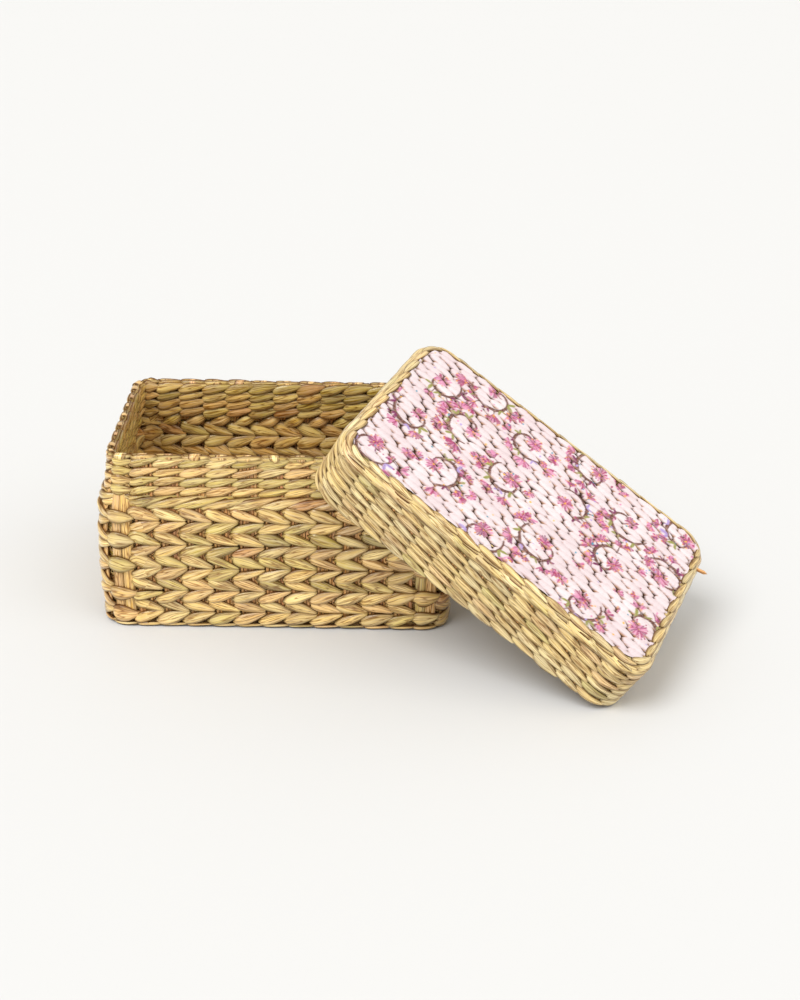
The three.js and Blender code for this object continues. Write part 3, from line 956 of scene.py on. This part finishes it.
def aster(canvas, chance, x, y, size, turn, fan):
    # a tuft of fine rays, all round or as a fan
    here = nearSpot(canvas, x, y, size * 1.3)
    right, up = offsets(canvas, here, x, y)
    gap = np.hypot(right, up) / size
    way = np.arctan2(up, right) - turn
    inFan = np.abs((way + math.pi) % (2 * math.pi) - math.pi) < fan
    paint(canvas, here, np.where(inFan, 1.5 - 1.6 * gap, 0), "blush", 0.75)
    rays = int(11 * size / 6 * fan / 2) + 5
    for i in range(rays):
        angle = turn + fan * (2 * (i + chance.uniform(0.2, 0.8)) / rays - 1)
        far = size * chance.uniform(0.7, 1.08)
        tip = (x + far * math.cos(angle), y + far * math.sin(angle))
        ink = chance.choice(["petal", "deep", "plum", "petal", "deep"])
        penLine(canvas, here, (x, y), tip, (0.4, 1.3), ink, 0.9)
        if chance.uniform() < 0.45:
            dot(canvas, here, tip[0], tip[1], 0.55, chance.choice(["gold", "deep", "gold", "plum"]))
    for _ in range(int(size)):
        away = size * 0.35 * chance.uniform(0, 1)
        angle = turn + fan * chance.uniform(-1, 1)
        ink = chance.choice(["gold", "plum"])
        dot(canvas, here, x + away * math.cos(angle), y + away * math.sin(angle), 0.5, ink)


def paintSprig(canvas, chance, x, y, way):
    # one scroll with its leaves and tufts, and loose tufts and dots beside it
    size = chance.uniform(*garden["scroll"])
    spots, angle = scroll(canvas, x, y, size, chance.uniform(*garden["anyTurn"]), way)
    for i in garden["leavesAt"]:
        outward = angle[i] + chance.uniform(*garden["sway"])
        long = chance.uniform(*garden["leaf"])
        leafPair(canvas, spots[i], outward, long, chance.choice(["leaf", "plum", "lilac", "leaf"]))
    for i in garden["stalksAt"]:
        outward = angle[i] + chance.uniform(*garden["sway"])
        ahead = np.array([math.cos(outward), math.sin(outward)])
        stalk = spots[i] + ahead * chance.uniform(*garden["stalk"])
        penLine(canvas, nearSpot(canvas, *spots[i], 12), spots[i], stalk, (1.2, 0.7), "stem")
        size = chance.uniform(*garden["tuft"])
        aster(canvas, chance, *stalk, size, outward, chance.uniform(*garden["tuftFan"]))
    aster(canvas, chance, *spots[-1], chance.uniform(*garden["lastTuft"]), 0, math.pi)
    for aside in garden["tuftsBeside"]:
        spot = (x + aside, y + chance.uniform(-24, 24))
        size = chance.uniform(*garden["smallTuft"])
        turn = chance.uniform(*garden["anyTurn"])
        aster(canvas, chance, *spot, size, turn, chance.uniform(*garden["smallFan"]))
    here = nearSpot(canvas, x, y, 40)
    for _ in range(garden["dots"]):
        spot = (x + chance.uniform(-26, 26), y + chance.uniform(-28, 28))
        size = chance.uniform(0.5, 1.0)
        dot(canvas, here, *spot, size, chance.choice(["gold", "deep", "teal", "lilac", "petal"]))


def paintGarden(canvas):
    chance = np.random.default_rng(garden["seed"])
    x, y = canvas["x"], canvas["y"]
    worn = np.sin(x / 13 + np.sin(y / 11)) * np.sin(y / 9 + np.sin(x / 17))
    paint(canvas, np.arange(len(x)), worn * 0.5 + 0.4, "white", 0.7)
    for column in range(garden["columns"]):
        for row in range(garden["rows"]):
            spotX = garden["firstX"] + column * garden["stepX"]
            spotX += chance.uniform(-garden["looseX"], garden["looseX"])
            spotY = garden["firstY"] + row * garden["stepY"]
            spotY += garden["oddY"] if column % 2 else garden["evenY"]
            spotY += chance.uniform(-garden["looseY"], garden["looseY"])
            paintSprig(canvas, chance, spotX, spotY, 1 if (column + row) % 2 else -1)


def smoothField(field):
    edged = np.pad(field, 1, mode="edge")
    tall, broad = field.shape
    return sum(edged[i:i + tall, j:j + broad] for i in range(3) for j in range(3)) / 9


def leafRelief(x, y):
    # the strokes under the paper press through it like overlapping leaves
    # gives its sag, its distance from the nearest leaf and its place across that leaf
    pitch = crossAt[1] - crossAt[0]
    rowPitch = 2 * outerCorner[1] / leaf["rows"]
    row = np.rint(y / rowPitch).astype(int)
    chance = np.random.default_rng(leaf["seed"])
    loose = chance.normal(0, 1, (4, leaf["rows"] + 4, leaf["looseStrokes"]))
    sag = np.full(len(x), 9.0)
    gap = np.full(len(x), 9.0)
    fold = np.zeros(len(x))
    for nearRow in (row - 1, row, row + 1):
        offset = nearRow % 2 * leaf["stagger"]  # every other row lies further on
        place = np.rint((x - offset) / pitch).astype(int)
        for nearStroke in (place - 1, place, place + 1):
            jitter = loose[:, nearRow % loose.shape[1], nearStroke % loose.shape[2]]
            along = x - offset - nearStroke * pitch - leaf["looseAlong"] * jitter[0]
            slope = leaf["slope"] + leaf["looseSlope"] * jitter[2]
            aside = y - nearRow * rowPitch - leaf["looseAside"] * jitter[1] - slope * along
            share = np.abs(along) / (leaf["long"] / 2 + nearRow % 2 * leaf["oddLonger"])
            blunt, pointed, square = (
                np.clip(1 - share ** power, 0, 1) ** ease for power, ease in leaf["ends"])
            shape = np.where(aside < 0, square, np.where(along < 0, blunt, pointed))
            half = leaf["wide"] / 2 * (1 + leaf["looseWide"] * jitter[3])
            half = half * np.clip(shape, 0.02, 1)
            across = aside / half
            dome = np.sqrt(np.clip(1 - across ** 2, 0, 1)) * (1 - 0.35 * np.clip(share, 0, 1) ** 3)
            depth = leaf["dip"] * (1 - dome)
            fold = np.where(depth < sag, across * 2.6 + jitter[2] + 0.05 * along, fold)
            sag = np.minimum(sag, depth)
            past = np.clip(share - 1, 0, 9) * leaf["long"] / 2
            gap = np.minimum(gap, np.abs(aside) - half + past)
    return sag, gap, fold


def buildPrint():
    high = outerCorner[:2] - printSheet["margin"]
    across, deep = (2 * high / printSheet["step"]).astype(int)
    bm = bmesh.new()
    bmesh.ops.create_grid(bm, x_segments=across, y_segments=deep, size=1)
    flat = np.array([v.co for v in bm.verts])
    y = flat[:, 1] * high[1]
    radius = wallPlan["cornerRadius"] - printSheet["margin"]
    past = np.clip(np.abs(y) - arcY, 0, radius)
    x = flat[:, 0] * (arcX + np.sqrt(radius ** 2 - past ** 2))
    # its edge is cut by hand
    rim = np.maximum(np.abs(flat[:, 0]), np.abs(flat[:, 1])) ** 12
    x = x + rim * printSheet["wobble"] * np.sin(y / 7) * np.sin(y / 17 + 1)
    y = y + rim * printSheet["wobble"] * np.sin(x / 9) * np.sin(x / 23 + 2)
    sag, gap, fold = leafRelief(x, y)
    column = np.rint((flat[:, 0] + 1) / 2 * across).astype(int)
    line = np.rint((flat[:, 1] + 1) / 2 * deep).astype(int)
    field = np.empty((deep + 1, across + 1))
    field[line, column] = sag
    paper = smoothField(field)[line, column]
    inFromEdge = ((1 - np.abs(flat[:, :2])) * outerCorner[:2]).min(axis=1)
    inside = np.clip(inFromEdge / 2 - 0.5, 0, 1)
    # the slits sink a little into the gaps between strokes and are painted near black: painted shade of
    # the hollow under the paper
    shadedSlit = np.clip((gap - leaf["shadedSlit"]) / 0.25, 0, 1) * inside
    sag = paper + shadedSlit * leaf["sink"]
    canvas = {"x": x, "y": y, "ink": np.tile(inks["ground"], (len(x), 1))}
    paintGarden(canvas)
    everywhere = np.arange(len(x))
    # painted shade: grey lines in the paper's fine folds along the leaves, and grey in the valleys
    # between leaves
    wrinkleShade = 1 - np.abs(np.sin(fold * 2.2)) * 3  # along the leaves
    paint(canvas, everywhere, wrinkleShade, "crease", 0.3)
    paint(canvas, everywhere, 1 - (leaf["dip"] * 0.5 - paper) / 0.25, "crease", 0.45)
    paint(canvas, everywhere, (gap / 0.3 + 1) * inside, "fringe", 0.75)
    paint(canvas, everywhere, shadedSlit * 1.5, "shadedSlit")
    ink = bm.verts.layers.float_color.new("printInk")
    for i, vert in enumerate(bm.verts):
        vert.co = Vector((x[i], y[i], printSheet["top"] - sag[i])) * millimetre
        vert[ink] = (*canvas["ink"][i], 1)
    finishPiece(bm, "lidPrint", "lid", "print", ["lid_print"], lidLean)


paperGrain = {
    "noise": {"Scale": 700, "Detail": 3},
    "bump": {"Strength": 0.25, "Distance": 0.0003},
    "finish": {"Roughness": 0.55, "Specular IOR Level": 0.25},
}


def printMaterial():
    material, tree, shader = newMaterial("printPaper")
    ink = tree.nodes.new("ShaderNodeAttribute")
    ink.attribute_name = "printInk"
    tree.links.new(ink.outputs["Color"], shader.inputs["Base Color"])
    place = tree.nodes.new("ShaderNodeTexCoord")
    noise = tree.nodes.new("ShaderNodeTexNoise")
    setInputs(noise, paperGrain["noise"])
    tree.links.new(place.outputs["Object"], noise.inputs["Vector"])
    bump = tree.nodes.new("ShaderNodeBump")
    setInputs(bump, paperGrain["bump"])
    tree.links.new(noise.outputs["Fac"], bump.inputs["Height"])
    tree.links.new(bump.outputs["Normal"], shader.inputs["Normal"])
    setInputs(shader, paperGrain["finish"])
    return material


finishes["print"] = printMaterial()
buildPrint()
print("print pasted")


# studio: a pale floor, an even sky, a broad soft light from the left and a weaker one from the right
studio = {
    "floor": {"Base Color": (0.635, 0.642, 0.648, 1), "Roughness": 0.7},
    "floorHalf": 60,  # metres
    "wall": {"Color": (0.98, 0.97, 0.945, 1)},  # seen past the floor's far edge, as pale as the floor
    "sky": {"Color": (1.0, 0.965, 0.9, 1), "Strength": 0.76},
}
lamps = {
    "key": {"power": 2.25, "soft": 36.0, "from": (-1.1, -1.1, 2.1)},
    "fill": {"power": 0.75, "soft": 50.0, "from": (1.4, -0.9, 2.0)},
}


def layFloor():
    bm = bmesh.new()
    bmesh.ops.create_grid(bm, x_segments=1, y_segments=1, size=studio["floorHalf"])
    mesh = meshFrom(bm, "floor")
    floor = addObject("floor", mesh)
    paper, _, shader = newMaterial("floorPaper")
    setInputs(shader, studio["floor"])
    mesh.materials.append(paper)


def lightStudio():
    world = bpy.data.worlds.new("sky")
    world.use_nodes = True
    tree = world.node_tree
    sky = tree.nodes["Background"]
    setInputs(sky, studio["sky"])
    wall = tree.nodes.new("ShaderNodeBackground")
    setInputs(wall, studio["wall"])
    path = tree.nodes.new("ShaderNodeLightPath")
    seen = tree.nodes.new("ShaderNodeMixShader")
    tree.links.new(path.outputs["Is Camera Ray"], seen.inputs[0])
    tree.links.new(sky.outputs["Background"], seen.inputs[1])
    tree.links.new(wall.outputs["Background"], seen.inputs[2])
    tree.links.new(seen.outputs["Shader"], tree.nodes["World Output"].inputs["Surface"])
    bpy.context.scene.world = world
    for name, lamp in lamps.items():
        light = bpy.data.lights.new(name, "SUN")
        light.energy = lamp["power"]
        light.angle = math.radians(lamp["soft"])
        spot = addObject(name, light)
        spot.location = lamp["from"]
        spot.rotation_euler = (-spot.location).to_track_quat("-Z", "Y").to_euler()
    bpy.context.scene.view_settings.view_transform = "Standard"


layFloor()
lightStudio()
print("studio lit")
